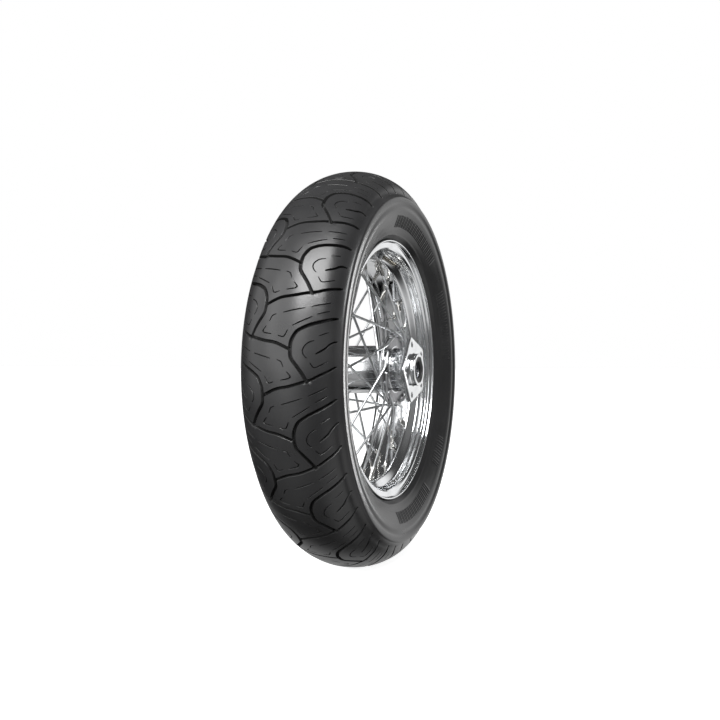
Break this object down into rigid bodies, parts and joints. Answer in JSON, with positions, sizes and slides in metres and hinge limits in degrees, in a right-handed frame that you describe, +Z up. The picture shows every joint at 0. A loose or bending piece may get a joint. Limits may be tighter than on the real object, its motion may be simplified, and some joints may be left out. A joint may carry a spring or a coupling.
{
  "type": "motorcycle tire",
  "caption": "Motorcycle tire on a wire-spoked drop-centre wheel, with inner tube, hub, bearings and valve, that turns freely about its axle.",
  "frame": {"origin": "wheel centre: on the axle line, in the tyre's middle plane", "axes": "+Y along the axle from the brake side to the drive side, +Z up, with the valve near the top; the axle bore's axis is Y"},
  "size_m": [0.66, 0.1828, 0.66],
  "materials": {
    "tyre_rubber": "dark grey road rubber, satin on the tread and smoother on the sidewall",
    "tube_rubber": "plain black butyl",
    "rim_chrome": "mirror chrome plate",
    "spoke_steel": "bright plated steel",
    "hub_alloy": "polished",
    "bearing_steel": "ground steel",
    "seal_rubber": "black, slightly glossy",
    "valve_brass": "nickel plated",
    "cap_plastic": "black moulded"
  },
  "bodies": {
    "axle_sleeve": {"bearing_spacer_sleeve": "bearing_steel", "brake_side_inner_race": "bearing_steel", "drive_side_inner_race": "bearing_steel"},
    "wheel": {"tyre": "tyre_rubber", "inner_tube": "tube_rubber", "rim_strip": "tube_rubber", "rim": "rim_chrome", "hub": "hub_alloy", "brake_side_outer_race": "bearing_steel", "drive_side_outer_race": "bearing_steel", "brake_side_seal": "seal_rubber", "drive_side_seal": "seal_rubber", "valve_stem": "valve_brass", "valve_core": "valve_brass", "valve_washer": "spoke_steel", "valve_nut": "spoke_steel", "valve_cap": "cap_plastic", "brake_side_outer_spoke_01": "spoke_steel", "brake_side_outer_spoke_02": "spoke_steel", "brake_side_outer_spoke_03": "spoke_steel", "brake_side_outer_spoke_04": "spoke_steel", "brake_side_outer_spoke_05": "spoke_steel", "brake_side_outer_spoke_06": "spoke_steel", "brake_side_outer_spoke_07": "spoke_steel", "brake_side_outer_spoke_08": "spoke_steel", "brake_side_outer_spoke_09": "spoke_steel", "brake_side_outer_spoke_10": "spoke_steel", "brake_side_inner_spoke_01": "spoke_steel", "brake_side_inner_spoke_02": "spoke_steel", "brake_side_inner_spoke_03": "spoke_steel", "brake_side_inner_spoke_04": "spoke_steel", "brake_side_inner_spoke_05": "spoke_steel", "brake_side_inner_spoke_06": "spoke_steel", "brake_side_inner_spoke_07": "spoke_steel", "brake_side_inner_spoke_08": "spoke_steel", "brake_side_inner_spoke_09": "spoke_steel", "brake_side_inner_spoke_10": "spoke_steel", "drive_side_outer_spoke_01": "spoke_steel", "drive_side_outer_spoke_02": "spoke_steel", "drive_side_outer_spoke_03": "spoke_steel", "drive_side_outer_spoke_04": "spoke_steel", "drive_side_outer_spoke_05": "spoke_steel", "drive_side_outer_spoke_06": "spoke_steel", "drive_side_outer_spoke_07": "spoke_steel", "drive_side_outer_spoke_08": "spoke_steel", "drive_side_outer_spoke_09": "spoke_steel", "drive_side_outer_spoke_10": "spoke_steel", "drive_side_inner_spoke_01": "spoke_steel", "drive_side_inner_spoke_02": "spoke_steel", "drive_side_inner_spoke_03": "spoke_steel", "drive_side_inner_spoke_04": "spoke_steel", "drive_side_inner_spoke_05": "spoke_steel", "drive_side_inner_spoke_06": "spoke_steel", "drive_side_inner_spoke_07": "spoke_steel", "drive_side_inner_spoke_08": "spoke_steel", "drive_side_inner_spoke_09": "spoke_steel", "drive_side_inner_spoke_10": "spoke_steel"},
    "brake_side_balls": {"brake_side_ball_set": "bearing_steel"},
    "drive_side_balls": {"drive_side_ball_set": "bearing_steel"}
  },
  "joints": [
    {"name": "wheel_spin", "type": "hinge", "parent": "axle_sleeve", "child": "wheel", "pos_m": [0, 0, 0], "axis": [0, 1, 0], "continuous": true},
    {"name": "brake_side_balls_orbit", "type": "hinge", "parent": "axle_sleeve", "child": "brake_side_balls", "pos_m": [0, 0, 0], "axis": [0, 1, 0], "continuous": true},
    {"name": "drive_side_balls_orbit", "type": "hinge", "parent": "axle_sleeve", "child": "drive_side_balls", "pos_m": [0, 0, 0], "axis": [0, 1, 0], "continuous": true}
  ],
  "couplings": [
    {"joint": "brake_side_balls_orbit", "follows": "wheel_spin", "ratio": 0.6},
    {"joint": "drive_side_balls_orbit", "follows": "wheel_spin", "ratio": 0.6}
  ]
}
